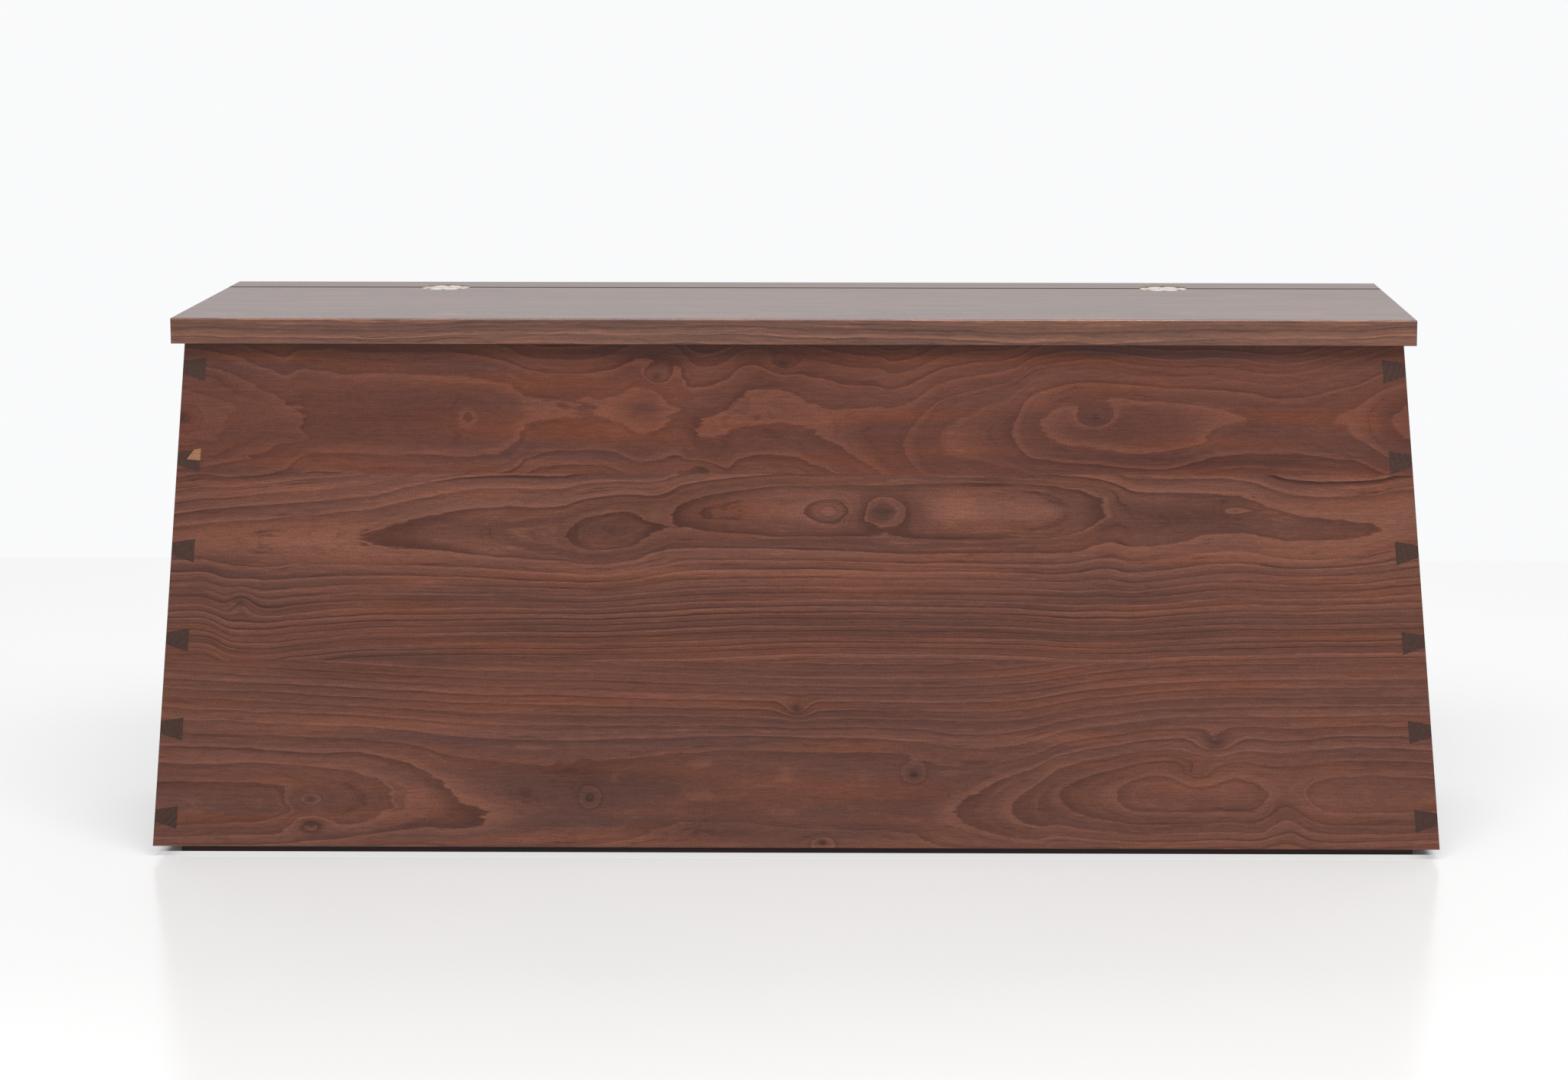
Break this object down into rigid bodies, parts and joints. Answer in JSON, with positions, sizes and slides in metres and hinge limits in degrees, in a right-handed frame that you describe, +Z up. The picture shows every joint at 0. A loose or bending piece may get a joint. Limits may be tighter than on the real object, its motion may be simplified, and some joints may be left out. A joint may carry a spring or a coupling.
{
  "type": "album chest",
  "caption": "Low lidded walnut chest for photo albums, with side walls that lean outward, dovetailed corners, a recessed plinth and a lid on two round flap hinges.",
  "frame": {"origin": "on the supporting surface, under the middle of the chest", "axes": "+X to the chest's right as seen from the front, along its length; +Y to the back, where the hinges are; +Z up"},
  "size_m": [0.9092, 0.236, 0.385],
  "materials": {
    "walnut_front": "oiled flat-sawn walnut, satin, grain along X",
    "walnut_back": "oiled flat-sawn walnut, satin, grain along X",
    "walnut_side": "oiled walnut, satin, grain front to back, end grain on the pins",
    "walnut_top": "oiled walnut, satin, eased edges, grain along X",
    "walnut_panel": "oiled walnut, satin, grain along X",
    "walnut_plinth": "dark walnut strip, matt",
    "beech": "fluted beech dowel, raw",
    "nickel": "satin nickel plate",
    "brass": "yellow-passivated screw, cross recess",
    "zinc_steel": "bright zinc"
  },
  "bodies": {
    "case": {"front_board_top": "walnut_front", "front_board_middle": "walnut_front", "front_board_bottom": "walnut_front", "back_board_top": "walnut_back", "back_board_middle": "walnut_back", "back_board_bottom": "walnut_back", "left_side_board_top": "walnut_side", "left_side_board_middle": "walnut_side", "left_side_board_bottom": "walnut_side", "right_side_board_top": "walnut_side", "right_side_board_middle": "walnut_side", "right_side_board_bottom": "walnut_side", "bottom_panel": "walnut_panel", "plinth_front": "walnut_plinth", "plinth_back": "walnut_plinth", "plinth_left": "walnut_plinth", "plinth_right": "walnut_plinth", "plinth_screws": "zinc_steel", "hinge_rail": "walnut_top", "rail_dowels": "beech", "left_hinge_rear_leaf": "nickel", "left_hinge_rear_pin": "zinc_steel", "left_hinge_rear_screws": "brass", "right_hinge_rear_leaf": "nickel", "right_hinge_rear_pin": "zinc_steel", "right_hinge_rear_screws": "brass"},
    "hinge_links": {"left_hinge_link": "nickel", "right_hinge_link": "nickel"},
    "lid": {"lid_front_board": "walnut_top", "lid_rear_board": "walnut_top", "left_hinge_front_leaf": "nickel", "left_hinge_front_pin": "zinc_steel", "left_hinge_front_screws": "brass", "right_hinge_front_leaf": "nickel", "right_hinge_front_pin": "zinc_steel", "right_hinge_front_screws": "brass"}
  },
  "joints": [
    {"name": "lid_hinge", "type": "hinge", "parent": "case", "child": "hinge_links", "pos_m": [0, 0.0837, 0.3825], "axis": [-1, 0, 0], "range_deg": [0, 46]},
    {"name": "lid_hinge_front", "type": "hinge", "parent": "hinge_links", "child": "lid", "pos_m": [0, 0.0737, 0.3825], "axis": [-1, 0, 0], "range_deg": [0, 46]}
  ],
  "couplings": [
    {"joint": "lid_hinge_front", "follows": "lid_hinge", "ratio": 1}
  ]
}
